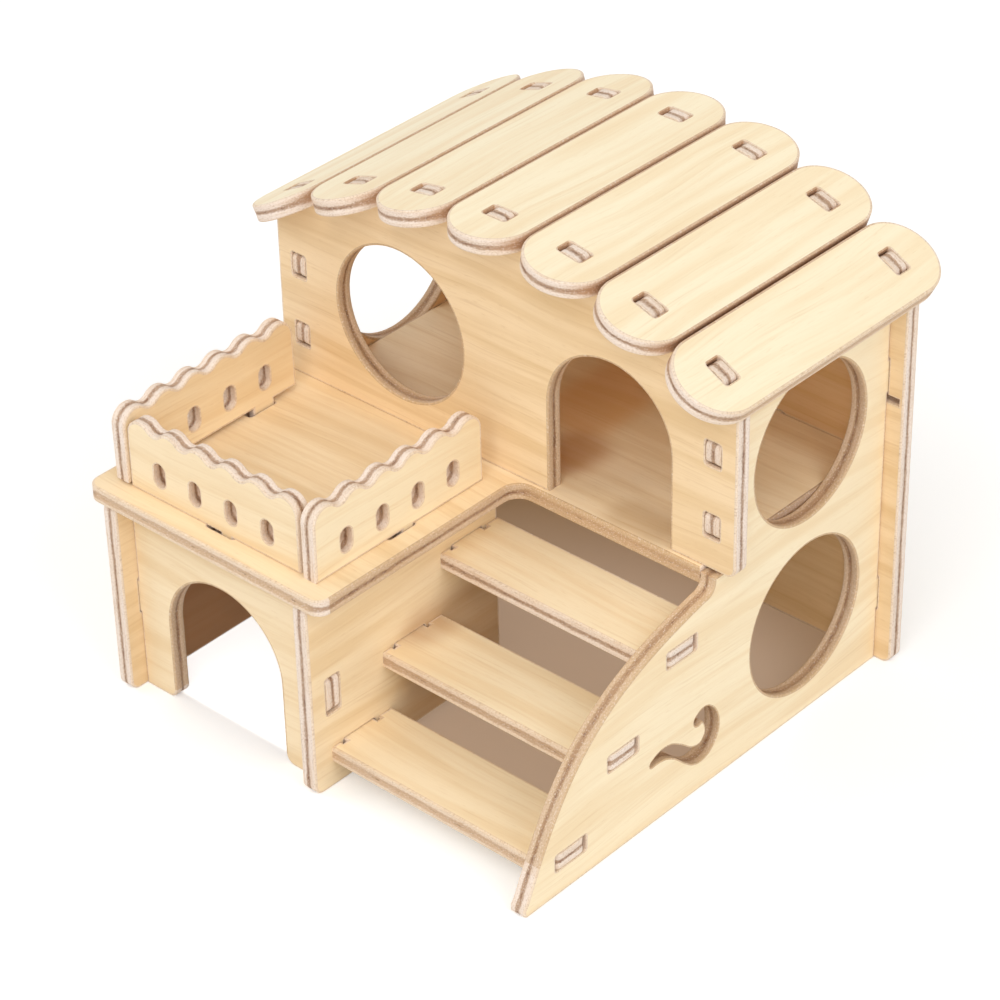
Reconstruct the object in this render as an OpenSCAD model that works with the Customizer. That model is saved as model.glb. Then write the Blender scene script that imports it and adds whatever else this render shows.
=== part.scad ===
// Two-storey plywood hideout for small pets.
// Flat sheets locked together by tabs in slots: a deck carries the upper
// room and a fenced balcony, stairs climb beside the balcony, and seven
// round-ended slats make an arched roof.
// X runs along the front wall, -Y is the front, and Z = 0 is the floor.

/* [Plywood] */
// Thickness of every sheet
ply = 5; // [4:0.5:6]
// Clearance on each side of a tab, across the sheet
fit = 0.2; // [0.1:0.05:0.3]
// Clearance at each end of a tab, along its slot
slot_play = 0.4; // [0.2:0.1:0.6]
// Rounding of the corners at a tab's end
tab_end_r = 2; // [0.5:0.1:2.5]
// Rounding of free corners on walls and feet
corner_r = 3; // [1:0.5:4]

/* [Rooms] */
// Width between the side panels
room_w = 144; // [138:1:152]
// Depth between the front and back walls
room_d = 67; // [62:1:76]
// Height under the deck
lower_h = 63; // [60:1:70]
// Height from the deck to the middle slat
upper_h = 73.5; // [71:0.5:80]
// How far the front and back walls reach past the side panels
wall_overhang = 5.5; // [4:0.5:7]

/* [Doors and windows] */
// Diameter of the round front window
window_d = 47; // [40:1:50]
// Distance of the window from the left side panel
window_side = 12.5; // [10:0.5:14]
// Height of the window centre above the deck
window_z = 31.5; // [28:0.5:33]
// Width of the upper door
door_w = 42.4; // [36:0.2:44]
// Height of the upper door
door_h = 49.5; // [44:0.5:52]
// Distance of the door from the right side panel
door_side = 11.4; // [10:0.2:14]
// Width of the wall left at each side of the lower door
porch_foot_w = 12.2; // [10:0.2:15]
// Height of the lower door
porch_door_h = 47.7; // [42:0.1:52]
// Diameter of the round holes in the side panels
porthole_d = 47.6; // [40:0.2:50]
// Height of the lower side hole above the floor
porthole_low_z = 33; // [30:0.5:34]
// Height of the upper side hole above the deck
porthole_high_z = 21.4; // [20:0.2:26]

/* [Balcony and deck] */
// How far the lower side pieces stand ahead of the front wall
porch_d = 76.8; // [74:0.2:84]
// How far the lower front wall stands back from their front edges
porch_setback = 5.8; // [4:0.2:9]
// Deck overhang past the side pieces at the front
deck_lip = 1.6; // [1:0.2:3]
// Deck overhang past the left panel
deck_side_lip = 4.3; // [2:0.1:6]
// Deck overhang past the stair wall
deck_stair_lip = 6.9; // [5:0.1:9]
// Deck overhang past the front wall above the stairs
deck_front_lip = 1.5; // [0.5:0.1:1.7]
// Rounding of the outer deck corners
deck_r = 4; // [2:0.5:6]
// Rounding of the inner deck corner beside the stairs
deck_inner_r = 5; // [2:0.5:6]

/* [Fences] */
// Height of the fence crests above the deck
fence_h = 22.3; // [20:0.1:26]
// Number of crests along a fence
fence_crests = 6; // [5:1:7]
// Radius of a crest, as a share of the spacing of the crests
crest_share = 0.458; // [0.4:0.002:0.48]
// Radius of the dip between two crests, as a share of their spacing
dip_share = 0.276; // [0.2:0.002:0.32]
// Distance of the front and right fences from the deck edge
fence_inset = 7; // [6:0.5:8]
// Distance of the left fence from the deck edge
fence_inset_left = 5.6; // [5:0.2:7]
// Gap between the left and front fences
fence_gap = 0.3; // [0.2:0.1:0.8]
// Gap between the front and right fences
fence_end_gap = 1.5; // [0.5:0.1:2]
// Gap between the side fences and the front wall
fence_back_gap = 7.4; // [6:0.2:10]
// Width of each upright hole
fence_hole_w = 4.4; // [3:0.2:6]
// Height of each upright hole
fence_hole_h = 7.6; // [7:0.2:10]
// Height of the hole centres above the deck
fence_hole_z = 8.1; // [7:0.1:10]
// Spacing of the holes, as a share of the fence's length
fence_hole_share = 0.212; // [0.18:0.002:0.22]
// Number of holes along a fence
fence_holes = 4; // [2:1:4]
// How far the left fence stands up out of its slots
left_fence_lift = 1.3; // [0:0.1:1.5]
// How far the left fence leans up towards the house, in degrees
left_fence_tilt = 0.8; // [0:0.1:1]

/* [Stairs] */
// Clear width of the stairs
stair_w = 71.2; // [66:0.2:74]
// Depth of a tread
tread_d = 23.3; // [20:0.1:24]
// Height of the lowest tread's top
first_step = 13.2; // [11:0.2:15]
// Rise from one tread to the next
rise = 20; // [18:0.2:20.4]
// Gap between the stair wall and the front wall
stair_wall_gap = 2.2; // [1:0.2:4]
// Height of the shallow relief under the stair wall
foot_relief = 2.4; // [1:0.2:4]
// Length of the scroll cut-out
scroll_w = 28.8; // [24:0.2:30]
// Height of the scroll cut-out
scroll_h = 17.3; // [14:0.1:18]

/* [Roof] */
// Rise of the arch that the slats rest on, from its ends to its middle
roof_rise = 24; // [20:0.5:26]
// How far the slats' undersides reach past the sides of the walls
roof_lip = 1.3; // [0.5:0.1:2]
// Gap between the lower edges of two slats
slat_gap = 0.3; // [0.2:0.1:0.6]
// How far the slats reach past the walls
slat_overhang = 12; // [8:0.5:16]
// Width of the tabs that hold the slats
roof_tab = 7.2; // [6:0.2:9]

/* [Hidden] */

// Overrun of every cut past the sheet it goes through
over = 1;
// Half a turn, and half of a length
half_turn = 180;
half_share = 0.5;
// Number of slats
slats = 7;
// Straight pieces in each rounded corner and in each quarter of a wave
corner_steps = 8;
wave_steps = 12;
curve_steps = 40;
$fn = 96;

// Tabs: heights on the upper walls and the lower walls, widths on treads and deck
wall_tab = 7;
back_tab = 11;
low_tab = 11.2;
tread_tab = 11.6;
deck_tab = 12;
// Rounding in the corners of the slots, and how far a tab's root runs into its sheet
slot_r = 0.8;
tab_root = 3;
// Heights of the tab centres, above the deck or above the floor
wall_tab_low_z = 13.4;
wall_tab_high_z = 35.7;
back_tab_high_z = 26.2;
back_tab_low_z = 22.5;
low_tab_z = 30.3;
// Places of the deck tabs in the back wall, as shares of the room's width
deck_tab_shares = [-0.25, 0.25];
// The tread tabs sit a little ahead of the tread's middle
tread_tab_lead = 1;
// Small relief cuts beside the tabs at the treads' left ends
relief_w = 1.6;
relief_d = 1.1;
// Side relief of the upper slots in the back wall
slot_relief_w = 4;
slot_relief_h = 2.4;
// Places of the fence tabs, from the middle, as shares of the fence's length
left_tab_shares = [-0.288, 0.288];
front_tab_shares = [0.034];
right_tab_shares = [0];
// Fence slots: their length, their extra width, and the length that a tab leaves free,
// seen as a dark line beside the fence
fence_slot = 9.6;
fence_slot_gap = 0.3;
left_slot_spare = 1.6;
fence_slot_spare = 5;
// Lead of the side fences' front ends ahead of the front fence
fence_end_lip = 0.6;
// Gap between a side panel and the slat over it
side_gap = 0.3;
// Gap between the stair side's shoulder and the front wall
shoulder_gap = 1.1;
// Concave bend where the stair side meets the front wall
bend_r = 3.5;
// Toe of the stair side: its lead on the other side pieces and its rounding
toe_lead = 1;
toe_r = 1.5;
// Feet left by the relief under the stair wall
foot_len = 17;

// Planes of the sheets
deck_top = lower_h + ply;
side_in = room_w / 2;
side_out = side_in + ply;
wall_half = side_out + wall_overhang;
back_y = ply + room_d;
back_out = back_y + ply;
deck_front = -(porch_d + deck_lip);
deck_left = -(side_out + deck_side_lip);
stair_x = side_in - stair_w;
deck_right = stair_x + deck_stair_lip;
porch_y = porch_setback - porch_d;
roof_half = wall_half + roof_lip;
roof_r = (pow(roof_half, 2) + pow(roof_rise, 2)) / (2 * roof_rise);
arch_z = deck_top + upper_h - roof_r;
slat_len = back_out + 2 * slat_overhang;
slat_pitch = 2 * asin(roof_half / roof_r) / slats;
slat_w = 2 * roof_r * tan(slat_pitch / 2) - slat_gap;
slat_end_r = slat_w / 2;
toe_y = -(porch_d + toe_lead);
slot_low = deck_top + back_tab_high_z - back_tab / 2 - slot_play;
mid_y = (back_out + slat_overhang + deck_front) / 2;
fence_front = deck_front + fence_inset;
fence_right_x = deck_right - fence_inset - ply;
fence_left_x = deck_left + fence_inset_left;
side_fence_y = fence_front - fence_end_lip;
side_fence_len = -fence_back_gap - side_fence_y;
front_fence_x = fence_left_x + ply + fence_gap;
front_fence_len = fence_right_x - fence_end_gap - front_fence_x;

// Front edges of the treads, lowest first, and the stair side's curve, as
// shares of the porch depth and of the deck's height
tread_shares = [0.911, 0.638, 0.329];
curve_start_shares = [0.808, 0.526];
curve_end_shares = [0.667, 0.774];
stair_top_share = 0.913;

// Scroll cut-out: places along its middle line and half widths, as shares
// of its length and height and of its length
scroll_shares = [[0.035, 0.62, 0.035], [0.14, 0.66, 0.058], [0.27, 0.63, 0.068], [0.41, 0.49, 0.067],
    [0.55, 0.29, 0.075], [0.68, 0.18, 0.102], [0.80, 0.2, 0.113], [0.886, 0.38, 0.107],
    [0.90, 0.56, 0.098], [0.86, 0.75, 0.087], [0.78, 0.87, 0.076], [0.70, 0.83, 0.066]];
scroll_steps = 4;
scroll_front_share = 0.357;
scroll_foot_share = 0.14;

// Outline helpers
function unit(v) = v / norm(v);
function turned(a) = (a + 3 * half_turn) % (2 * half_turn) - half_turn;
function arc(centre, r, from, sweep, steps) =
    [for (k = [0 : steps]) centre + r * [cos(from + sweep * k / steps), sin(from + sweep * k / steps)]];
function corner(a, b, c, r) =
    r == 0 ? [b] :
    let (
        u = unit(a - b),
        w = unit(c - b),
        half = acos(u * w) / 2,
        m = b + unit(u + w) * r / sin(half),
        p = b + u * r / tan(half) - m,
        q = b + w * r / tan(half) - m,
        from = atan2(p[1], p[0])
    )
    arc(m, r, from, turned(atan2(q[1], q[0]) - from), corner_steps);
// Outline with one rounding radius for each point
function rounded(points, radii) =
    let (n = len(points))
    [for (i = [0 : n - 1]) each corner(points[(i + n - 1) % n], points[i], points[(i + 1) % n], radii[i])];
function bezier(a, b, c, d, t) =
    a * pow(1 - t, 3) + b * 3 * t * pow(1 - t, 2) + c * 3 * t * t * (1 - t) + d * pow(t, 3);
// Smooth value through a list of rows, at step k of row i
function smooth(rows, i, t) =
    let (
        a = rows[max(i - 1, 0)],
        b = rows[i],
        c = rows[min(i + 1, len(rows) - 1)],
        d = rows[min(i + 2, len(rows) - 1)]
    )
    (2 * b + (c - a) * t + (2 * a - 5 * b + 4 * c - d) * t * t + (3 * b - a - 3 * c + d) * t * t * t) / 2;

// Sheets: an outline becomes a plate with its first face at the given place
module sheet_xz(y) translate([0, y + ply, 0]) rotate([90, 0, 0]) linear_extrude(ply) children();
module sheet_yz(x) translate([x, 0, 0]) rotate([90, 0, 90]) linear_extrude(ply) children();
module sheet_xy(z) translate([0, 0, z]) linear_extrude(ply) children();
// The house is drawn from the front wall's face and set over the origin
module placed() translate([0, -mid_y, 0]) children();
module block(x0, x1, y0, y1) translate([x0, y0]) square([x1 - x0, y1 - y0]);
// Tab from a sheet's edge, with round shoulders, and the slot that takes it
module tab(x0, x1, centre, width)
    polygon(rounded([
        [x0, centre - width / 2],
        [x1, centre - width / 2],
        [x1, centre + width / 2],
        [x0, centre + width / 2]], [tab_end_r, tab_end_r, tab_end_r, tab_end_r]));
module slot(x0, x1, centre, width)
    polygon(rounded([
        [x0 - fit, centre - width / 2 - slot_play],
        [x1 + fit, centre - width / 2 - slot_play],
        [x1 + fit, centre + width / 2 + slot_play],
        [x0 - fit, centre + width / 2 + slot_play]], [slot_r, slot_r, slot_r, slot_r]));
// Arched doorway, open at the bottom
module doorway(width, height) {
    translate([0, height - width / 2]) circle(d = width);
    block(-width / 2, width / 2, -over, height - width / 2);
}

// Arched top edge: one straight stretch under each slat
function arch_at(x, i) = arch_z + (roof_r - x * sin(i * slat_pitch)) / cos(i * slat_pitch);
function arch_points() =
    let (vertex_r = roof_r / cos(slat_pitch / 2))
    [for (i = [2.5 : -1 : -2.5]) [vertex_r * sin(i * slat_pitch), arch_z + vertex_r * cos(i * slat_pitch)]];
// Wall under the roof, from the given height up, with a tab for every slat
module roof_wall(bottom) {
    polygon(concat(
        rounded([[-wall_half, arch_at(-wall_half, -3)], [-wall_half, bottom], [wall_half, bottom],
            [wall_half, arch_at(wall_half, 3)]], [0, corner_r, corner_r, 0]),
        arch_points()));
    for (i = [-3 : 3])
        translate([0, arch_z]) rotate(-i * slat_pitch) rotate(90)
            tab(roof_r - tab_root, roof_r + ply, 0, roof_tab);
}
// Slots for both side panels' tabs
module side_slots(z, width) {
    for (x = [-side_out, side_in]) {
        slot(x, x + ply, z, width);
    }
}

module front_wall() color("#efd09c") placed() sheet_xz(0)
    difference() {
        roof_wall(deck_top);
        translate([window_side + window_d / 2 - side_in, deck_top + window_z]) circle(d = window_d);
        translate([side_in - door_side - door_w / 2, deck_top]) doorway(door_w, door_h);
        side_slots(deck_top + wall_tab_low_z, wall_tab);
        side_slots(deck_top + wall_tab_high_z, wall_tab);
    }

module back_wall() color("#d9b27c") placed() sheet_xz(back_y)
    difference() {
        roof_wall(0);
        side_slots(deck_top + back_tab_high_z, back_tab);
        side_slots(back_tab_low_z, back_tab);
        for (m = [0, 1])
            mirror([m, 0]) {
                block(side_in - fit, side_out + slot_relief_w, slot_low - slot_relief_h, slot_low);
                block(side_in - fit, side_out + fit, slot_low - over, slot_low + slot_r);
            }
        for (s = deck_tab_shares)
            translate([s * room_w, 0]) rotate(90) slot(lower_h, deck_top, 0, deck_tab);
    }

// Upper part of a side panel, with its tabs, both round holes cut from all of it
module upper_side() {
    block(ply, back_y, deck_top - ply, arch_at(side_out, 3) - side_gap);
    for (z = [wall_tab_low_z, wall_tab_high_z])
        tab(0, ply + tab_root, deck_top + z, wall_tab);
    for (z = [deck_top + back_tab_high_z, back_tab_low_z])
        tab(back_y - tab_root, back_out, z, back_tab);
}
module portholes()
    for (z = [porthole_low_z, deck_top + porthole_high_z])
        translate([ply + room_d / 2, z]) circle(d = porthole_d);

module left_side_panel() color("#d8b483") placed() sheet_yz(-side_out)
    difference() {
        union() {
            polygon(rounded([[-porch_d, 0], [back_y, 0], [back_y, lower_h], [-porch_d, lower_h]],
                [corner_r, 0, 0, corner_r]));
            upper_side();
        }
        portholes();
        slot(porch_y, porch_y + ply, low_tab_z, low_tab);
    }

// Stair side: curved top edge from the toe to the bend below the front wall
stair_top = stair_top_share * deck_top;
shoulder_z = deck_top - shoulder_gap;
function stair_curve() =
    let (
        a = [toe_y, toe_r],
        b = [-porch_d * curve_start_shares[0], deck_top * curve_start_shares[1]],
        c = [-porch_d * curve_end_shares[0], deck_top * curve_end_shares[1]],
        d = [-deck_front_lip - bend_r, stair_top]
    )
    [for (k = [curve_steps : -1 : 1]) bezier(a, b, c, d, k / curve_steps)];
module scroll() {
    n = len(scroll_shares);
    rows = [for (i = [0 : n - 2]) for (k = [0 : scroll_steps - 1]) smooth(scroll_shares, i, k / scroll_steps)];
    line = [for (r = concat(rows, [scroll_shares[n - 1]])) [r[0] * scroll_w, r[1] * scroll_h]];
    half = [for (r = concat(rows, [scroll_shares[n - 1]])) r[2] * scroll_w];
    m = len(line);
    along = [for (i = [0 : m - 1]) unit(line[min(i + 1, m - 1)] - line[max(i - 1, 0)])];
    side = [for (v = along) [-v[1], v[0]]];
    polygon(concat(
        [for (i = [0 : m - 1]) line[i] + side[i] * half[i]],
        arc(line[m - 1], half[m - 1], atan2(side[m - 1][1], side[m - 1][0]), -half_turn, corner_steps),
        [for (i = [m - 1 : -1 : 0]) line[i] - side[i] * half[i]],
        arc(line[0], half[0], atan2(-side[0][1], -side[0][0]), -half_turn, corner_steps)));
}
module right_side_panel() color("#f6e2bd") placed() sheet_yz(side_in)
    difference() {
        union() {
            polygon(concat(
                rounded([[toe_y, toe_r + over], [toe_y, 0], [0, 0]], [0, toe_r, 0]),
                [[back_y, 0], [back_y, shoulder_z], [-deck_front_lip, shoulder_z]],
                arc([-deck_front_lip - bend_r, stair_top + bend_r], bend_r, 0, -90, corner_steps),
                stair_curve()));
            upper_side();
        }
        portholes();
        for (i = [0 : 2])
            rotate(90) slot(tread_z(i), tread_z(i) + ply, -tread_mid(i), tread_tab);
        translate([-scroll_front_share * porch_d, scroll_foot_share * deck_top]) scroll();
    }

// Deck: an L that fills the house between the panels and runs out to the left
module deck() color("#ecc98f") placed() sheet_xy(lower_h)
    difference() {
        union() {
            polygon(rounded([
                [deck_left, deck_front], [deck_right, deck_front], [deck_right, -deck_front_lip],
                [side_in, -deck_front_lip], [side_in, back_y], [-side_in, back_y],
                [-side_in, ply - fit], [deck_left, ply - fit]],
                [deck_r, deck_r, deck_inner_r, 0, 0, 0, 0, 0]));
            for (s = deck_tab_shares)
                translate([s * room_w, 0]) rotate(90) tab(back_y - tab_root, back_out, 0, deck_tab);
        }
        translate([fence_left_x, side_fence_y]) fence_slots(side_fence_len, left_tab_shares);
        translate([fence_right_x, side_fence_y]) fence_slots(side_fence_len, right_tab_shares);
        translate([front_fence_x, fence_front + ply]) rotate(-90)
            fence_slots(front_fence_len, front_tab_shares);
    }

module lower_front_wall() color("#ecd2ab") placed() sheet_xz(porch_y) {
    left = -side_in;
    right = stair_x - ply;
    porch_door_w = right - left - 2 * porch_foot_w;
    difference() {
        block(left, right, 0, lower_h);
        translate([(left + right) / 2, 0]) doorway(porch_door_w, porch_door_h);
        // rounded inner corners of the two feet
        for (s = [-1, 1])
            translate([(left + right) / 2 + s * (porch_door_w / 2 + corner_r), corner_r])
                rotate(s > 0 ? 180 : 270) foot_round();
    }
    for (x = [left - ply, right])
        translate([x, 0])
            tab(x > left ? -tab_root : 0, x > left ? ply : ply + tab_root, low_tab_z, low_tab);
}
// Square corner less its round, for a foot
module foot_round()
    difference() {
        block(0, corner_r + over, 0, corner_r + over);
        circle(r = corner_r);
    }

module stair_wall() color("#efd3a0") placed() sheet_yz(stair_x - ply)
    difference() {
        polygon(rounded([[-porch_d, 0], [foot_len - porch_d, 0], [foot_len - porch_d + foot_relief, foot_relief],
            [-stair_wall_gap - foot_len, foot_relief], [-stair_wall_gap - foot_len + foot_relief, 0],
            [-stair_wall_gap, 0], [-stair_wall_gap, lower_h], [-porch_d, lower_h]],
            [corner_r, 0, 0, 0, 0, 0, 0, corner_r]));
        slot(porch_y, porch_y + ply, low_tab_z, low_tab);
        for (i = [0 : 2])
            rotate(90) slot(tread_z(i), tread_z(i) + ply, -tread_mid(i), tread_tab);
    }

// Treads: tabs at both ends, and relief cuts beside the left tab
function tread_y(i) = -tread_shares[i] * porch_d;
function tread_z(i) = first_step + i * rise - ply;
function tread_mid(i) = tread_y(i) + tread_d / 2 - tread_tab_lead;
module tread(i) color("#eccf98") placed() sheet_xy(tread_z(i))
    difference() {
        union() {
            block(stair_x, side_in, tread_y(i), tread_y(i) + tread_d);
            tab(stair_x - ply, side_out, tread_mid(i), tread_tab);
        }
        for (s = [-1, 1])
            translate([stair_x, tread_mid(i) + s * (tread_tab + relief_w) / 2])
                block(-over, relief_d, -relief_w / 2, relief_w / 2);
    }
module tread_1() tread(0);
module tread_2() tread(1);
module tread_3() tread(2);

// Fence outline: round crests joined by round dips, with its tabs below
function wave(length) =
    let (
        pitch = length / (fence_crests - 1 + 2 * crest_share),
        crest_r = crest_share * pitch,
        dip_r = dip_share * pitch,
        dip_rise = sqrt(pow(crest_r + dip_r, 2) - pow(pitch / 2, 2)),
        meet = atan2(dip_rise, pitch / 2)
    )
    [for (i = [fence_crests - 1 : -1 : 0])
        let (
            crest = [crest_r + i * pitch, fence_h - crest_r],
            from = i == fence_crests - 1 ? 0 : meet,
            to = i == 0 ? half_turn : half_turn - meet
        )
        each concat(
            arc(crest, crest_r, from, to - from, wave_steps),
            i == 0 ? [] : arc(crest + [-pitch / 2, dip_rise], dip_r, -meet, 2 * meet - half_turn, wave_steps))];
module fence_slots(length, shares)
    for (s = shares)
        slot(0, ply + fence_slot_gap, (half_share + s) * length, fence_slot);
module fence_outline(length, shares, spare)
    difference() {
        union() {
            polygon(concat([[0, 0], [length, 0]], wave(length)));
            for (s = shares)
                translate([(half_share + s) * length + spare / 2, 0]) rotate(90)
                    tab(-ply, tab_root, 0, fence_slot - spare);
        }
        for (i = [0 : fence_holes - 1])
            translate([length * (half_share + (i - (fence_holes - 1) / 2) * fence_hole_share), fence_hole_z])
                stadium(fence_hole_w, fence_hole_h);
    }
module stadium(width, height) {
    for (s = [-1, 1])
        translate([0, s * (height - width) / 2]) circle(d = width);
    block(-width / 2, width / 2, (width - height) / 2, (height - width) / 2);
}
module left_fence() color("#ebc88e") placed() sheet_yz(fence_left_x)
    translate([side_fence_y + side_fence_len / 2, deck_top + left_fence_lift]) rotate(left_fence_tilt)
        translate([-side_fence_len / 2, 0]) fence_outline(side_fence_len, left_tab_shares, left_slot_spare);
module right_fence() color("#f3d9a8") placed() sheet_yz(fence_right_x)
    translate([side_fence_y, deck_top]) fence_outline(side_fence_len, right_tab_shares, fence_slot_spare);
module front_fence() color("#f1dab1") placed() sheet_xz(fence_front)
    translate([front_fence_x, deck_top]) fence_outline(front_fence_len, front_tab_shares, fence_slot_spare);

// Roof slat i, counted from the middle one
module slat(i) color("#fbecca") placed()
    translate([0, 0, arch_z]) rotate([0, i * slat_pitch, 0]) sheet_xy(roof_r)
        difference() {
            slat_outline();
            for (y = [0, back_y])
                rotate(90) slot(y, y + ply, 0, roof_tab);
        }
module slat_outline() {
    for (y = [slat_end_r - slat_overhang, slat_len - slat_overhang - slat_end_r])
        translate([0, y]) circle(r = slat_end_r);
    block(-slat_w / 2, slat_w / 2, slat_end_r - slat_overhang, slat_len - slat_overhang - slat_end_r);
}
module slat_1() slat(-3);
module slat_2() slat(-2);
module slat_3() slat(-1);
module slat_4() slat(0);
module slat_5() slat(1);
module slat_6() slat(2);
module slat_7() slat(3);

front_wall();
back_wall();
left_side_panel();
right_side_panel();
deck();
lower_front_wall();
stair_wall();
tread_1();
tread_2();
tread_3();
left_fence();
front_fence();
right_fence();
slat_1();
slat_2();
slat_3();
slat_4();
slat_5();
slat_6();
slat_7();
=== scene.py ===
"""Two-storey plywood house for small pets, dressed over its CAD sheets.

Every sheet of the house is one piece. Its outline comes from the CAD node, so
the tabs and slots stay where they fit. The piece adds what a cut and sanded
sheet has: eased edges, a core ply that lies a little back, and the looks of
the face veneer and of the three plies at the edge. Lengths are in metres,
and patterns are laid out in millimetres.
"""
import math

import bpy
import numpy as np
from mathutils import Matrix, Vector
from mathutils.geometry import delaunay_2d_cdt


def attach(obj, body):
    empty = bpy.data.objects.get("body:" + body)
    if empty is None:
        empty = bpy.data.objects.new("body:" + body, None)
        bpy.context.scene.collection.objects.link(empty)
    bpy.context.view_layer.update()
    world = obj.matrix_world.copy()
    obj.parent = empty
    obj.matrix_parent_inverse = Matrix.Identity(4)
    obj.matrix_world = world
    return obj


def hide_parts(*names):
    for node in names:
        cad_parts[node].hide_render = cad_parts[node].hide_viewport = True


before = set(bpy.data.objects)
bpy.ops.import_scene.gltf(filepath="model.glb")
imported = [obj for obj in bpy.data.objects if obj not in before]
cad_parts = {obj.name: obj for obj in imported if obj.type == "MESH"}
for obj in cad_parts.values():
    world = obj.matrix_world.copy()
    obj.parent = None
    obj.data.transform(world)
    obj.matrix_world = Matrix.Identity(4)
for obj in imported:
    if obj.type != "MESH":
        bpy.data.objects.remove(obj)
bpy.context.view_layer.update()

MM = 0.001
rng = np.random.default_rng(11)

# Thickness of the board, and the depth in it of the core ply's middle, in mm
BOARD = 5.0
CORE_DEPTH = 2.4
# Axis of the roof's arch, and the radius between the slats' undersides and tops, in mm
ARCH_Z = -16.8
ARCH_R = 161.0
# Lowest and highest corners of the rooms, in mm
UPPER_ROOM = [(-72.2, -0.4, 68.3), (72.2, 66.8, 160)]
LOWER_ROOM = [(-72.2, -0.4, -1), (72.2, 66.8, 62.8)]
PORCH = [(-72.2, -71.4, -1), (-4.0, -0.4, 62.8)]
STAIRWELL = [(-4.0, -82.0, -1), (72.2, -0.4, 62.8)]
# Where the wood is browner, in mm: painted shade on the upper floor at its back, beside the door
# and in the doorway, and on the stair wall under the treads; the deck's end at the right side
# panel; and painted shade on the slats' long sides where two slats meet
BACK_OF_ROOM = [(-6, 28, 67), (4, 60, 68.3)]
BY_THE_DOOR = [(9, 11, 67), (12, 16, 68.3)]
DOORSTEP = [(42, 0, 67), (52, 1, 68.3)]
UNDER_TREADS = [(-1, -40, -1), (1.5, -10, 32)]
DECK_END = [(70, -1, 62), (72.25, 67, 69)]
BETWEEN_SLATS = [(-78, -90, 90), (78, 90, 160)]
# How soon a room's painted shade ends at a wall's face, in mm
AT_A_WALL = 0.2
# Longest outline of a hole that is eased as finely as a tab, and of a slot, in mm
SMALL_HOLE = 100
SLOT = 60
# How far in from the sheet's box a cut starts to be an inner one, in how many more mm
# it wholly is, and what share of that a tab or a slot keeps
INNER_FROM = 3.5
INNER_SPAN = 4
TAB_AND_SLOT_SHARE = 0.33
# How much a tab's sides look like cuts across the grain
TAB_CROSSING = 0.8
# How far away in the pattern of the grain a sheet's far face is, in mm
FAR_FACE = 400
# What the white room lights, where 1 would render a white card white
ROOM_LIGHT = 0.45
# The photograph's camera: azimuth, elevation and roll in degrees, place in mm, and
# focal length in widths of the picture
CAMERA_TURN = [42.6956, 33.9961, -1.3166]
CAMERA_PLACE = [535.889, -586.109, 590.259]
FOCAL_LENGTH = 3.4624


def linear(hex_colour):
    """sRGB hex to linear RGBA: c / 12.92 near black, ((c + 0.055) / 1.055) ** 2.4 above."""
    c = np.array([int(hex_colour[i : i + 2], 16) for i in (1, 3, 5)]) / 255
    return tuple(np.where(c <= 0.04045, c / 12.92, ((c + 0.055) / 1.055) ** 2.4)) + (1.0,)


def add(tree, kind, settings=None, **inputs):
    """Adds a node of that kind with its settings, and sets or links its inputs.

    An input is named with _ for each space, or i0, i1 by its place. A socket is
    linked, a hex colour turned to linear, and any other value set as it is.
    """
    node = tree.nodes.new("ShaderNode" + kind)
    for name, value in (settings or {}).items():
        setattr(node, name, value)
    for name, value in inputs.items():
        place = int(name[1:]) if name[0] == "i" and name[1:].isdigit() else name.replace("_", " ")
        if isinstance(value, bpy.types.NodeSocket):
            tree.links.new(value, node.inputs[place])
        elif isinstance(value, str):
            node.inputs[place].default_value = linear(value)
        else:
            node.inputs[place].default_value = value
    return node


def started(name, roughness):
    """New material with its tree and its Principled shader, at the IOR of dry wood."""
    made = bpy.data.materials.new(name)
    made.use_nodes = True
    shader = made.node_tree.nodes["Principled BSDF"]
    shader.inputs["Roughness"].default_value = roughness
    shader.inputs["IOR"].default_value = 1.45
    return made, made.node_tree, shader


def noises(tree, place, rows):
    """Noise for each row: name, mm along the grain, mm across it, octaves, and shift.

    The place is divided by the two lengths, so each blotch is that long and that wide.
    """
    made = {}
    for name, along, across, octaves, shift in rows:
        stretched = add(
            tree,
            "Mapping",
            Vector=place,
            Scale=(1 / along, 1 / across, 1),
            Location=(shift, shift, shift),
        )
        made[name] = add(
            tree, "TexNoise", Vector=stretched.outputs[0], Scale=1.0, Detail=octaves, Roughness=0.55
        ).outputs[0]
    return made


def layered(tree, colour, layers):
    """The colour with layers laid over it in order.

    A layer is (pattern, where it starts, where it is full, its strength, its colour):
    the share of its colour is strength times the smooth step of the pattern.
    """
    for pattern, start, full, strength, over in layers:
        share = add(
            tree,
            "MapRange",
            {"interpolation_type": "SMOOTHSTEP"},
            Value=pattern,
            From_Min=start,
            From_Max=full,
            To_Max=strength,
        ).outputs[0]
        colour = add(
            tree, "Mix", {"data_type": "RGBA"}, i0=share, i6=colour, i7=over
        ).outputs[2]
    return colour


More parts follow.
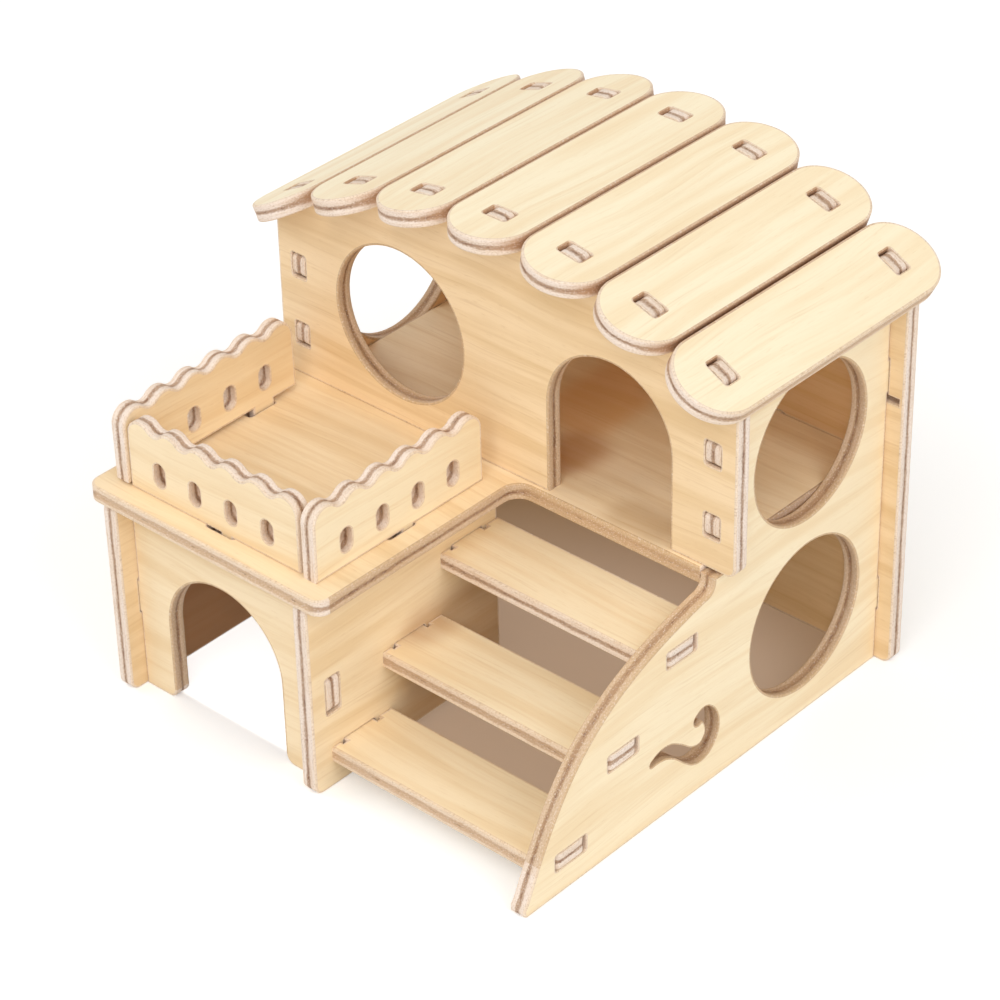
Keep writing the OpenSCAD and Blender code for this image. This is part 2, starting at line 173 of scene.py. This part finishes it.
def inside(tree, place, box, soft):
    """1 in the box and 0 further than soft outside it, in mm.

    The distance to the box is the length of |place - middle| - half size, with
    negative parts as 0. The smooth step runs from soft down to 0.
    """
    low, high = np.array(box) * MM
    middle, half = (low + high) / 2, (high - low) / 2
    off = add(tree, "VectorMath", {"operation": "SUBTRACT"}, i0=place, i1=middle).outputs[0]
    off = add(tree, "VectorMath", {"operation": "ABSOLUTE"}, i0=off).outputs[0]
    off = add(tree, "VectorMath", {"operation": "SUBTRACT"}, i0=off, i1=half).outputs[0]
    off = add(tree, "VectorMath", {"operation": "MAXIMUM"}, i0=off, i1=(0, 0, 0)).outputs[0]
    off = add(tree, "VectorMath", {"operation": "LENGTH"}, i0=off).outputs["Value"]
    smooth = {"interpolation_type": "SMOOTHSTEP"}
    return add(tree, "MapRange", smooth, Value=off, From_Min=soft * MM, From_Max=0.0).outputs[0]


def arch_radius(tree, spot):
    """Distance from the axis of the roof's arch, which runs along y at height ARCH_Z."""
    up = (0, 0, -ARCH_Z * MM)
    from_axis = add(
        tree, "VectorMath", {"operation": "MULTIPLY_ADD"}, i0=spot, i1=(1, 0, 1), i2=up
    ).outputs[0]
    return add(tree, "VectorMath", {"operation": "LENGTH"}, i0=from_axis).outputs["Value"]


def sanded_veneer():
    """Sanded basswood face veneer, rotary cut and unfinished.

    To the eye: pale straw with soft bands a few millimetres wide that taper out,
    thin darker streaks, a fine fibre, short fine pores, and a dull sheen.
    UV map "sheet" runs in mm, u along the grain and v across it. Attribute "tone"
    goes from 0, a tan sheet, to 1, a pale one; it is partly the sheet's own wood and
    partly painted light. In the rooms, the porch, by the door and under the treads,
    painted shade makes the wood browner.
    """
    made, tree, shader = started("sanded_basswood_veneer", 0.5)
    flat = add(tree, "UVMap", {"uv_map": "sheet"}).outputs[0]
    tone = add(tree, "Attribute", {"attribute_name": "tone"}).outputs["Fac"]
    # the grain wanders sideways by up to 5 mm over some 80 mm
    wander = noises(tree, flat, [("sway", 80, 40, 1, 2.2)])["sway"]
    along, across = add(tree, "SeparateXYZ", Vector=flat).outputs[:2]
    across = add(tree, "Math", {"operation": "MULTIPLY_ADD"}, i0=wander, i1=10.0, i2=across)
    place = add(tree, "CombineXYZ", X=along, Y=across.outputs[0]).outputs[0]
    grain = noises(
        tree,
        place,
        [
            ("band", 120, 6.5, 3, 0.0),
            ("stripe", 70, 2.4, 2, 7.3),
            ("streak", 34, 0.9, 2, 4.6),
            ("fibre", 9, 0.4, 2, 3.1),
            ("pore", 3.2, 0.3, 0, 5.7),
            ("patch", 70, 34, 1, 9.2),
        ],
    )
    # painted shade: the wood in the rooms and the porch is painted browner, as the shade inside
    # them
    spot = add(tree, "TexCoord").outputs["Object"]
    under_roof = add(
        tree, "Math", {"operation": "LESS_THAN"}, i0=arch_radius(tree, spot), i1=ARCH_R * MM
    ).outputs[0]
    upper, lower, porch = [
        inside(tree, spot, room, AT_A_WALL) for room in (UPPER_ROOM, LOWER_ROOM, PORCH)
    ]
    upper = add(tree, "Math", {"operation": "MULTIPLY"}, i0=under_roof, i1=upper).outputs[0]
    bases = [("#F6D8AE", "#FEF0CF"), ("#E3C08D", "#F8E1B9"), ("#CBA068", "#E6C797")]
    straw, band, streak = [
        add(
            tree, "Mix", {"data_type": "RGBA", "clamp_factor": False}, i0=tone, i6=tan, i7=pale
        ).outputs[2]
        for tan, pale in bases
    ]
    colour = layered(
        tree,
        straw,
        [
            (grain["band"], 0.42, 0.66, 0.80, band),
            (grain["stripe"], 0.50, 0.72, 0.50, band),
            (grain["streak"], 0.56, 0.78, 0.32, streak),
            (grain["fibre"], 0.45, 0.80, 0.12, streak),
            (grain["pore"], 0.70, 0.82, 0.22, streak),
            (grain["patch"], 0.45, 0.75, 0.30, band),
            # painted shade: the rooms, the porch, the back of the upper room, beside the door, the
            # doorway and under the treads
            (upper, 0.0, 1.0, 0.36, "#E6A038"),
            (lower, 0.0, 1.0, 0.20, "#F0BA60"),
            (porch, 0.0, 1.0, 0.80, "#AA6708"),
            (inside(tree, spot, BACK_OF_ROOM, 14), 0.0, 1.0, 0.42, "#DD9428"),
            (inside(tree, spot, BY_THE_DOOR, 14), 0.0, 1.0, 0.64, "#B87838"),
            (inside(tree, spot, DOORSTEP, 12), 0.0, 1.0, 0.34, "#A87838"),
            (inside(tree, spot, UNDER_TREADS, 14), 0.0, 1.0, 0.42, "#A8713F"),
        ],
    )
    tree.links.new(colour, shader.inputs["Base Color"])
    relief = add(tree, "Math", {"operation": "ADD"}, i0=grain["fibre"], i1=grain["streak"])
    bump = add(tree, "Bump", Height=relief.outputs[0], Strength=0.2, Distance=0.05 * MM)
    tree.links.new(bump.outputs[0], shader.inputs["Normal"])
    return made


def milled_edge():
    """Milled edge of three-ply basswood board, sanded on its outside.

    To the eye: two pale face plies, pinkish where the cut crosses the grain and tan
    where it follows it, a fuzzy brown core about a fifth of the thickness with a
    broken darker line in it, and all of it speckled by cut fibres. Cuts inside the
    sheet are browner, and less so on a tab or in a slot. Painted shade browns the
    slats' long sides where two slats meet, and the deck's end at the right side panel
    is browner. UV map "sheet": u along the edge and v through the board, in mm.
    Attribute "end_grain" is 1 where the cut crosses the grain, and "inner_cut" is 1
    inside the sheet.
    """
    made, tree, shader = started("milled_three_ply_edge", 0.65)
    place = add(tree, "UVMap", {"uv_map": "sheet"}).outputs[0]
    crossing = add(tree, "Attribute", {"attribute_name": "end_grain"}).outputs["Fac"]
    inner_cut = add(tree, "Attribute", {"attribute_name": "inner_cut"}).outputs["Fac"]
    cut = noises(
        tree,
        place,
        [
            ("wave", 9, 2.0, 1, 1.4),
            ("fuzz", 0.6, 0.5, 2, 6.1),
            ("speck", 0.5, 0.34, 1, 4.2),
            ("line", 12, 0.5, 1, 8.8),
            ("tint", 30, 5.0, 1, 2.9),
            ("break", 2.6, 3.0, 2, 3.7),
        ],
    )
    depth = add(tree, "SeparateXYZ", Vector=place).outputs[1]
    middle = add(tree, "Math", {"operation": "SUBTRACT"}, i0=depth, i1=CORE_DEPTH).outputs[0]
    # the core line sways by a few tenths of a millimetre, and its sides are ragged
    for pattern, sway in ((cut["wave"], 0.9), (cut["fuzz"], 1.1)):
        moved = add(tree, "Math", {"operation": "MULTIPLY_ADD"}, i0=pattern, i1=sway, i2=-sway / 2)
        middle = add(tree, "Math", {"operation": "ADD"}, i0=middle, i1=moved.outputs[0]).outputs[0]
    off_core = add(tree, "Math", {"operation": "ABSOLUTE"}, i0=middle).outputs[0]
    off_line = add(tree, "Math", {"operation": "ADD"}, i0=off_core, i1=cut["break"]).outputs[0]
    off_arris = add(tree, "Math", {"operation": "PINGPONG"}, i0=depth, i1=BOARD / 2).outputs[0]
    # along the grain the core is wide and fuzzy, and across it narrow and crisp
    off_core = add(
        tree, "Math", {"operation": "MULTIPLY_ADD"}, i0=crossing, i1=0.6, i2=off_core
    ).outputs[0]
    off_line = add(
        tree, "Math", {"operation": "MULTIPLY_ADD"}, i0=crossing, i1=-0.15, i2=off_line
    ).outputs[0]
    # paler and pinker plies across the grain, and a core that darkens soon off the grain
    blend = {"data_type": "RGBA"}
    ply = add(tree, "Mix", blend, i0=crossing, i6="#EBD3B8", i7="#F1E0D2").outputs[2]
    dark = add(tree, "Math", {"operation": "POWER"}, i0=crossing, i1=0.4).outputs[0]
    core = add(tree, "Mix", blend, i0=dark, i6="#C7A27C", i7="#9C724E").outputs[2]
    # painted shade: the slats' long sides are browner in their lower half, where two slats meet and
    # little light gets in
    spot = add(tree, "TexCoord").outputs["Object"]
    radius, lower_half = arch_radius(tree, spot), (ARCH_R + 0.5) * MM
    low = add(tree, "Math", {"operation": "SUBTRACT"}, i0=radius, i1=lower_half).outputs[0]
    low = add(tree, "Math", {"operation": "ABSOLUTE"}, i0=low).outputs[0]
    low = add(tree, "MapRange", Value=low, From_Min=3.0 * MM, From_Max=1.2 * MM).outputs[0]
    clamped = {"operation": "SUBTRACT", "use_clamp": True}
    low = add(tree, "Math", clamped, i0=low, i1=crossing).outputs[0]
    between = inside(tree, spot, BETWEEN_SLATS, 1)
    painted_gap_shade = add(tree, "Math", {"operation": "MULTIPLY"}, i0=low, i1=between).outputs[0]
    colour = layered(
        tree,
        ply,
        [
            (cut["tint"], 0.40, 0.75, 0.40, "#E8CDAE"),
            (cut["line"], 0.50, 0.72, 0.30, "#CDA981"),
            (off_arris, 0.50, 0.20, 0.35, "#E6CA9F"),
            (inner_cut, 0.0, 1.0, 0.64, "#C49D69"),
            (off_core, 1.45, 0.90, 0.75, core),
            (off_line, 0.60, 0.30, 0.68, "#6C442A"),
            (painted_gap_shade, 0.0, 0.8, 0.78, "#B98A64"),
            (inside(tree, spot, DECK_END, AT_A_WALL), 0.0, 1.0, 0.70, "#A0764A"),
            (cut["speck"], 0.52, 0.75, 0.45, "#B08D6C"),
            (cut["speck"], 0.46, 0.25, 0.40, "#FAF0E6"),
        ],
    )
    tree.links.new(colour, shader.inputs["Base Color"])
    bump = add(tree, "Bump", Height=cut["speck"], Strength=0.3, Distance=0.08 * MM)
    tree.links.new(bump.outputs[0], shader.inputs["Normal"])
    return made


FACE = sanded_veneer()
EDGE = milled_edge()


def welded(points, least=0.001 * MM):
    """First point of each group that is the same on all three axes, and each point's group.

    On each axis the values are sorted, and a step longer than the least starts a new level.
    """
    order = np.argsort(points, axis=0)
    steps = np.diff(np.take_along_axis(points, order, 0), axis=0, prepend=0) > least
    levels = np.empty(points.shape, int)
    np.put_along_axis(levels, order, np.cumsum(steps, axis=0), 0)
    _, first, group = np.unique(levels, axis=0, return_index=True, return_inverse=True)
    return points[first], group.ravel()


def rounds(edges):
    """The loops that directed edges make: the points of each, in order.

    Every edge looks 1, 2, 4, 8... edges ahead. The highest number that it sees is the
    number of its loop's first edge, and its steps to that one give its own place.
    """
    number = np.arange(len(edges))
    by_start = np.argsort(edges[:, 0])
    following = by_start[np.searchsorted(edges[:, 0], edges[:, 1], sorter=by_start)]
    first, hop = number, following
    for _ in range(len(edges).bit_length()):
        first = np.maximum(first, first[hop])
        hop = hop[hop]
    steps = (first != number).astype(int)
    hop = np.where(first == number, number, following)
    for _ in range(len(edges).bit_length()):
        steps = steps + steps[hop]
        hop = hop[hop]
    order = np.lexsort((-steps, steps > 0, -first))
    return np.split(edges[order, 0], np.flatnonzero(steps[order] == 0)[1:])


def face_loops(node, grain_axis):
    """Outline loops of a flat sheet's larger face, and the sheet's own axes.

    The face is every triangle whose normal is the one with the most area. An edge
    that only one of them uses, in one direction, is on the outline. The loops come
    as points (along the grain, across it), outer ones anticlockwise and holes
    clockwise, with the wood on their left. After them come the directions along the
    grain, across it and out of the face, the face's level and the sheet's thickness.
    """
    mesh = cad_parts[node].data
    points = np.empty(len(mesh.vertices) * 3)
    mesh.vertices.foreach_get("co", points)
    points = points.reshape(-1, 3)
    mesh.calc_loop_triangles()
    tris = np.empty(len(mesh.loop_triangles) * 3, int)
    mesh.loop_triangles.foreach_get("vertices", tris)
    points, group = welded(points)
    tris = group[tris].reshape(-1, 3)
    a, b, c = points[tris].transpose(1, 0, 2)
    area = np.cross(b - a, c - a)
    size = np.linalg.norm(area, axis=1)
    tris, area, size = tris[size > 1e-12], area[size > 1e-12], size[size > 1e-12]
    unit = area / size[:, None]
    # one number that is the same only for triangles that face the same way
    facing = (unit @ np.array([1.0, 2.3, 5.1])).round(3)
    _, kind = np.unique(facing, return_inverse=True)
    largest = np.bincount(kind.ravel(), size).argmax()
    out = area[kind.ravel() == largest].sum(0)
    out /= np.linalg.norm(out)
    face = tris[unit @ out > 0.999]
    edges = np.concatenate([face[:, [0, 1]], face[:, [1, 2]], face[:, [2, 0]]])
    codes, backwards = edges @ [len(points), 1], edges @ [1, len(points)]
    rim = edges[~np.isin(codes, backwards)]
    along = np.eye(3)["XYZ".index(grain_axis)]
    along = along - out * (along @ out)
    along /= np.linalg.norm(along)
    across = np.cross(out, along)
    loops = [points[loop] @ np.stack([along, across], 1) for loop in rounds(rim)]
    level = points[face.ravel()] @ out
    thick = level.mean() - (points @ out).min()
    return loops, along, across, out, level.mean(), thick


def cleaned(loop, least=0.02 * MM, short=0.3 * MM):
    """The loop without doubled points and spurs.

    A point goes where it turns by more than 75 degrees beside a short edge.
    """
    for _ in range(3):
        loop = loop[np.linalg.norm(loop - np.roll(loop, 1, 0), axis=1) > least]
        ahead = np.roll(loop, -1, 0) - loop
        size = np.linalg.norm(ahead, axis=1)
        course = ahead / size[:, None]
        bend = (course * np.roll(course, 1, 0)).sum(1)
        beside = np.minimum(size, np.roll(size, 1))
        loop = loop[(bend > math.cos(math.radians(75))) | (beside > short)]
    return loop


def inward(loop):
    """Mitre vector of each point: one unit to the wood's side of both its edges.

    With n1 and n2 the left normals of the edges before and after, it is
    (n1 + n2) / (1 + n1 . n2), where the divisor is at least 0.2, so that it stays
    short at a sharp turn.
    """
    ahead = np.roll(loop, -1, 0) - loop
    left = np.stack([-ahead[:, 1], ahead[:, 0]], 1) / np.linalg.norm(ahead, axis=1)[:, None]
    before = np.roll(left, 1, 0)
    turn = 1 + (left * before).sum(1)
    return (left + before) / np.maximum(turn, 0.2)[:, None]


def untangled(loop, ring):
    """The inset ring with no edge turned back on itself.

    An edge that points against its own outline edge becomes a tenth of that outline
    edge, set about its midpoint. Four passes settle a tight curl.
    """
    edge = np.roll(loop, -1, 0) - loop
    n = np.arange(len(loop))
    for _ in range(4):
        ahead = np.roll(ring, -1, 0) - ring
        back = n[(ahead * edge).sum(1) < 0]
        middle = ring[back] + ahead[back] / 2
        ring[back] = middle - edge[back] / 20
        ring[(back + 1) % len(loop)] = middle + edge[back] / 20
    return ring


def in_wood(spots, edges):
    """Which spots lie in the wood: a ray from them to +x crosses an odd number of edges."""
    x, y = spots[:, :1], spots[:, 1:]
    (ax, ay), (bx, by) = edges[:, 0].T, edges[:, 1].T
    spans = (ay > y) != (by > y)
    rise = np.where(by == ay, 1.0, by - ay)
    return (spans & (x < ax + (y - ay) / rise * (bx - ax))).sum(1) % 2 == 1


def on_tabs(loop, longest=26 * MM):
    """Which edges of an outline are on a tab.

    The turn at a point is atan2(cross, dot) of the edges before and after it. A tab
    runs from one sharp inner corner, of over 1 radian, to the next, and turns by about
    half a circle on the way, so by over 2.5 radians.
    """
    ahead = np.roll(loop, -1, 0) - loop
    before = np.roll(ahead, 1, 0)
    cross = before[:, 0] * ahead[:, 1] - before[:, 1] * ahead[:, 0]
    turn = np.arctan2(cross, (before * ahead).sum(1))
    corner = np.flatnonzero(turn < -1)
    if len(corner) < 2:
        return np.zeros(len(loop), bool)
    size = np.linalg.norm(ahead, axis=1)
    after = np.roll(corner, -1)
    wraps = after < corner
    run = np.cumsum(size) - size
    run = run[after] - run[corner] + wraps * size.sum()
    bent = np.cumsum(turn)
    bent = bent[after] - turn[after] - bent[corner] + wraps * turn.sum()
    tab = (run < longest) & (bent > 2.5)
    return tab[np.searchsorted(corner, np.arange(len(loop)), "right") - 1]


def edge_profile(thick, ease, hold=0.25 * MM, back=0.07 * MM):
    """Rows of (distance in from the cut, depth) over a sheet's edge, for each ease.

    From a ring on the flat face, hold further in than the ease, round the first arris
    by a quarter circle, down the cut, round the second arris and onto the far face.
    The core ply, from about 0.4 to 0.6 of the thickness, lies back by that much.
    """
    turn = np.linspace(0, math.pi / 2, 5)
    arris = ease[:, None, None] * np.stack([1 - np.sin(turn), 1 - np.cos(turn)], 1)
    core = np.array([[0, 0.38], [back, 0.41], [back, 0.59], [0, 0.62]]) * [1, thick]
    core = np.broadcast_to(core, (len(ease), 4, 2))
    far = arris[:, ::-1] * [1, -1] + [0, thick]
    rim = np.stack([ease + hold, 0 * ease], 1)[:, None]
    return np.concatenate([rim, arris, core, far, rim + [0, thick]], 1)


def cut_marks(loop, lowest, highest, crisp):
    """Of each edge of an outline: is it a fine one, its crossing, and its inner cut.

    Tabs, slots and other small holes are fine. An edge crosses the grain by |its step
    across the grain| / its length, but at least by crisp, and by more on a tab. It is
    an inner cut by the smooth step of its distance in from the sheet's box, and less
    on a tab or in a slot.
    """
    ahead = np.roll(loop, -1, 0) - loop
    length = np.linalg.norm(ahead, axis=1)
    tabs = on_tabs(loop)
    fine = (tabs & np.roll(tabs, 1)) | (length.sum() < SMALL_HOLE * MM)
    # a tab or a slot keeps less of the inner cut's brown
    sanded = tabs | (length.sum() < SLOT * MM)
    crossing = np.maximum(np.abs(ahead[:, 1]) / length, np.where(tabs, TAB_CROSSING, crisp))
    middle = loop + ahead / 2
    in_from_box = np.minimum(middle - lowest, highest - middle).min(1)
    step = np.clip((in_from_box - INNER_FROM * MM) / (INNER_SPAN * MM), 0, 1)
    inner_cut = step * step * (3 - 2 * step) * np.where(sanded, TAB_AND_SLOT_SHARE, 1)
    return fine, crossing, inner_cut


def band(loop, profile):
    """The edge profile carried round an outline: its rings, quads and the quads' UVs.

    Ring point (i, k) = outline point i + mitre i * profile inset k. Quad (i, k) joins
    points k and k + 1 of outline points i and i + 1. Its u is the length run along the
    outline and its v the profile's depth, both in mm.
    """
    n, k = profile.shape[:2]
    miter = inward(loop)
    rings = [untangled(loop, loop + miter * inset[:, None]) for inset in profile[:, :, 0].T]
    i, j = np.arange(n)[:, None], np.arange(k - 1)
    here, there = i * k + j, (i + 1) % n * k + j
    quads = np.stack([here, here + 1, there + 1, there], -1).reshape(-1, 4)
    length = np.linalg.norm(np.roll(loop, -1, 0) - loop, axis=1)
    run = np.concatenate([[0], np.cumsum(length)]) / MM
    u = np.repeat(np.stack([run[:-1], run[:-1], run[1:], run[1:]], -1), k - 1, axis=0)
    down, down_next = profile[:, :, 1] / MM, np.roll(profile[:, :, 1], -1, 0) / MM
    v = np.stack([down[:, :-1], down[:, 1:], down_next[:, 1:], down_next[:, :-1]], -1)
    return np.stack(rings, 1), quads, np.stack([u, v.reshape(-1, 4)], -1).reshape(-1, 2)


def filled(border, ends):
    """Triangles of the flat inside the outlines: the constrained Delaunay ones in the wood.

    The border holds the outlines' points one outline after another, up to their ends.
    """
    following = np.arange(len(border)) + 1
    following[ends - 1] = np.concatenate([[0], ends[:-1]])
    pairs = np.stack([np.arange(len(border)), following], 1)
    fill = delaunay_2d_cdt((border / MM).tolist(), pairs.tolist(), [], 1, 1e-5)
    tris = np.ravel(fill[3])[np.array(fill[2])]
    return tris[in_wood(border[tris].mean(1), border[pairs])]


def mesh_of(name, verts, quads, tris, uv, marks):
    """Mesh with the edge material on its quads and the face material on its triangles.

    The UVs run corner by corner, and each mark gives one value for every face.
    """
    sizes = np.repeat([4, 3], [len(quads), len(tris)])
    corners = np.concatenate([quads.ravel(), tris.ravel()]).astype(np.int32)
    mesh = bpy.data.meshes.new(name)
    mesh.vertices.add(len(verts))
    mesh.vertices.foreach_set("co", verts.ravel())
    mesh.loops.add(len(corners))
    mesh.loops.foreach_set("vertex_index", corners)
    mesh.polygons.add(len(sizes))
    mesh.polygons.foreach_set("loop_start", np.cumsum(sizes) - sizes)
    mesh.update(calc_edges=True)
    mesh.uv_layers.new(name="sheet").data.foreach_set("uv", uv.ravel())
    for mark, values in marks.items():
        mesh.attributes.new(mark, "FLOAT", "FACE").data.foreach_set("value", values)
    mesh.materials.append(EDGE)
    mesh.materials.append(FACE)
    mesh.polygons.foreach_set("material_index", (sizes == 3).astype(np.int32))
    mesh.polygons.foreach_set("use_smooth", np.ones(len(sizes), bool))
    mesh.set_sharp_from_angle(angle=math.radians(40))
    mesh.validate()
    return mesh


def sheet(node, grain_axis, tone, crisp=0.0, ease=0.45 * MM, tab_ease=0.18 * MM):
    """Plywood sheet over a CAD node: a band round each outline, and the flats filled.

    A point of a band = its ring's place along and across the grain, at the face's
    level less the profile's depth. The first and last rings bound the two flats. The
    pattern starts at a random place, and the far face has its own stretch of grain.
    """
    loops, along, across, out, level, thick = face_loops(node, grain_axis)
    lowest, highest = np.concatenate(loops).min(0), np.concatenate(loops).max(0)
    start = rng.uniform(0, 900, 2)
    verts, quads, uvs, border, front, rear = [], [], [], [], [], []
    marks = {"end_grain": [], "inner_cut": []}
    count = 0
    for loop in map(cleaned, loops):
        fine, crossing, inner_cut = cut_marks(loop, lowest, highest, crisp)
        profile = edge_profile(thick, np.where(fine, tab_ease, ease))
        rings, around, uv = band(loop, profile)
        n, k = profile.shape[:2]
        depth = profile[:, :, 1].ravel()
        flat = rings.reshape(-1, 2)
        verts.append(flat @ np.stack([along, across]) + np.outer(level - depth, out))
        quads.append(count + around)
        uvs.append(uv + [start[0], 0])
        marks["end_grain"].append(np.repeat(crossing, k - 1))
        marks["inner_cut"].append(np.repeat(inner_cut, k - 1))
        border.append(rings[:, 0])
        front.append(count + np.arange(n) * k)
        rear.append(front[-1] + k - 1)
        count += n * k
    ends = np.cumsum([len(ring) for ring in border])
    border, front, rear = map(np.concatenate, (border, front, rear))
    tris = filled(border, ends)
    over = tris[:, ::-1]
    places = np.concatenate([border[tris], border[over] + FAR_FACE * MM]).reshape(-1, 2)
    marks = {name: np.concatenate(rows + [np.zeros(2 * len(tris))]) for name, rows in marks.items()}
    marks["tone"] = np.full(len(marks["end_grain"]), tone)
    mesh = mesh_of(
        node + "_ply",
        np.concatenate(verts),
        np.concatenate(quads),
        np.concatenate([front[tris], rear[over]]),
        np.concatenate(uvs + [places / MM + start]),
        marks,
    )
    piece = bpy.data.objects.new(node + "_ply", mesh)
    bpy.context.scene.collection.objects.link(piece)
    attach(piece, "root")
    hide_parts(node)
    return piece


# Node, direction of its face grain, tone from tan at 0 to pale at 1, and how crisp
# its core shows along the grain. The tone is partly each sheet's own wood and partly
# painted light, as the slats' tops are set palest.
SHEETS = [
    ("front_wall", "X", 0.15, 0.3),
    ("back_wall", "X", 0.15, 0.3),
    ("left_side_panel", "Y", 0.2, 0.3),
    ("right_side_panel", "Y", 0.75, 0.4),
    ("deck", "X", 0.4, 0.0),
    ("lower_front_wall", "X", 0.5, 0.3),
    ("stair_wall", "Y", 0.45, 0.3),
    ("tread_1", "X", 0.6, 0.0),
    ("tread_2", "X", 0.7, 0.1),
    ("tread_3", "X", 0.7, 0.8),
    ("left_fence", "Y", 0.55, 0.8),
    ("front_fence", "X", 0.55, 0.8),
    ("right_fence", "Y", 0.8, 0.8),
] + [(f"slat_{i + 1}", "Y", 0.95, 0.0) for i in range(7)]
for sheet_row in SHEETS:
    sheet(*sheet_row)


def seen_directly(tree):
    """1 for camera, glossy and transmission rays, and 0 for the light on the object."""
    path = add(tree, "LightPath").outputs
    seen = path["Is Camera Ray"]
    for kind in ("Is Glossy Ray", "Is Transmission Ray"):
        clamped = {"operation": "ADD", "use_clamp": True}
        seen = add(tree, "Math", clamped, i0=seen, i1=path[kind]).outputs[0]
    return seen


def white_floor():
    """White studio floor with the soft shadow kept, and painted shade and painted warm light on the
    floor under the house.

    What is seen of it directly glows a little, so that it meets the white room, and
    more far off. Behind the lower door it glows more, as painted light where the
    porch's shade falls. Under the house, seen directly, it is painted dark as painted
    shade, and to bounced light it is warm, a painted reflection of the wood. Its glow
    there is painted warm light, which falls by the smooth step of the distance from
    the middle of the stairs.
    """
    made, tree, shader = started("white_studio_floor", 0.9)
    place = add(tree, "TexCoord").outputs["Object"]
    seen = seen_directly(tree)
    front = add(tree, "SeparateXYZ", Vector=place).outputs[1]
    # under the house is the lower room, and the stairs from the first tread inwards
    stairs = add(tree, "MapRange", Value=front, From_Min=-68 * MM, From_Max=-50 * MM).outputs[0]
    stairs = add(
        tree, "Math", {"operation": "MULTIPLY"}, i0=stairs, i1=inside(tree, place, STAIRWELL, 4)
    ).outputs[0]
    room = inside(tree, place, LOWER_ROOM, 4)
    under = add(tree, "Math", {"operation": "MAXIMUM"}, i0=room, i1=stairs).outputs[0]
    # painted shade: seen directly, the floor under the house is dark; to bounced light it is warm,
    # a painted reflection of the wood
    dim = add(tree, "Mix", {"data_type": "RGBA"}, i0=seen, i6="#E6D6C4", i7="#8F8070").outputs[2]
    shade = add(tree, "Mix", {"data_type": "RGBA"}, i0=under, i6="#EDECEA", i7=dim).outputs[2]
    tree.links.new(shade, shader.inputs["Base Color"])
    off = add(
        tree, "VectorMath", {"operation": "DISTANCE"}, i0=place, i1=(18 * MM, -5 * MM, 0)
    ).outputs["Value"]
    # painted warm light under the house, dimmer further from beside the stairs
    glow = layered(tree, "#957E6A", [(off, 45 * MM, 100 * MM, 1.0, "#6C5238")])
    glow = add(tree, "Mix", {"data_type": "RGBA"}, i0=under, i6="#959595", i7=glow).outputs[2]
    # painted light: behind the lower door it is as white as the background from 36 mm out, where
    # the porch's shade would fall
    porch = add(tree, "MapRange", Value=front, From_Min=-4 * MM, From_Max=-36 * MM).outputs[0]
    porch = add(
        tree, "Math", {"operation": "MULTIPLY"}, i0=porch, i1=inside(tree, place, PORCH, 3)
    ).outputs[0]
    glow = layered(
        tree,
        glow,
        [(porch, 0.0, 1.0, 1.0, "#E8E8E8"), (off, 500 * MM, 2500 * MM, 1.0, "#FFFFFF")],
    )
    tree.links.new(glow, shader.inputs["Emission Color"])
    tree.links.new(seen, shader.inputs["Emission Strength"])
    half = 6.0
    corners = [(-half, -half, 0), (half, -half, 0), (half, half, 0), (-half, half, 0)]
    mesh = bpy.data.meshes.new("studio_floor")
    mesh.from_pydata(corners, [], [(0, 1, 2, 3)])
    mesh.materials.append(made)
    floor = bpy.data.objects.new("studio_floor", mesh)
    bpy.context.scene.collection.objects.link(floor)


def white_room(strength):
    """White room: it lights evenly at that strength, and what is seen directly is at 1."""
    world = bpy.data.worlds.new("white_room")
    world.use_nodes = True
    tree = world.node_tree
    back = tree.nodes["Background"]
    back.inputs["Color"].default_value = (1, 1, 1, 1)
    seen = seen_directly(tree)
    level = add(tree, "Math", {"operation": "MULTIPLY_ADD"}, i0=seen, i1=1 - strength, i2=strength)
    tree.links.new(level.outputs[0], back.inputs["Strength"])
    bpy.context.scene.world = world


def softbox(name, direction, level, size=1.9, far=3.0):
    """Square softbox that far off in that direction, facing the house.

    Its power makes the light on a surface that faces it render white at level 1:
    power = level * pi * pi * far squared.
    """
    light = bpy.data.lights.new(name, "AREA")
    light.size = size
    light.energy = level * (math.pi * far) ** 2
    lamp = bpy.data.objects.new(name, light)
    toward = Vector(direction).normalized()
    lamp.location = toward * far
    lamp.rotation_mode = "QUATERNION"
    lamp.rotation_quaternion = (-toward).to_track_quat("-Z", "Y")
    bpy.context.scene.collection.objects.link(lamp)


def photo_camera():
    """Camera at the photograph's place: azimuth 42.7, elevation 34.0, roll -1.3 degrees.

    Back = (sin a cos e, -cos a cos e, sin e); right and up are square to it, turned
    by the roll.
    """
    a, e, roll = np.radians(CAMERA_TURN)
    back = np.array([math.sin(a) * math.cos(e), -math.cos(a) * math.cos(e), math.sin(e)])
    level = np.array([math.cos(a), math.sin(a), 0])
    rise = np.cross(back, level)
    right = math.cos(roll) * level + math.sin(roll) * rise
    up = math.cos(roll) * rise - math.sin(roll) * level
    lens = bpy.data.cameras.new("photo_camera")
    lens.sensor_width = 36
    lens.lens = FOCAL_LENGTH * lens.sensor_width
    lens.clip_start, lens.clip_end = 0.05, 30
    camera = bpy.data.objects.new("photo_camera", lens)
    turn = np.eye(4)
    turn[:3, :3] = np.stack([right, up, back], 1)
    turn[:3, 3] = np.array(CAMERA_PLACE) * MM
    camera.matrix_world = Matrix(turn.tolist())
    bpy.context.scene.collection.objects.link(camera)
    bpy.context.scene.camera = camera


white_floor()
white_room(ROOM_LIGHT)
softbox("front_softbox", direction=(0.30, -0.66, 0.69), level=0.38)
softbox("right_softbox", direction=(0.80, -0.10, 0.60), level=0.33)
softbox("left_softbox", direction=(-0.70, -0.35, 0.62), level=0.26)
photo_camera()
bpy.context.scene.view_settings.view_transform = "Standard"
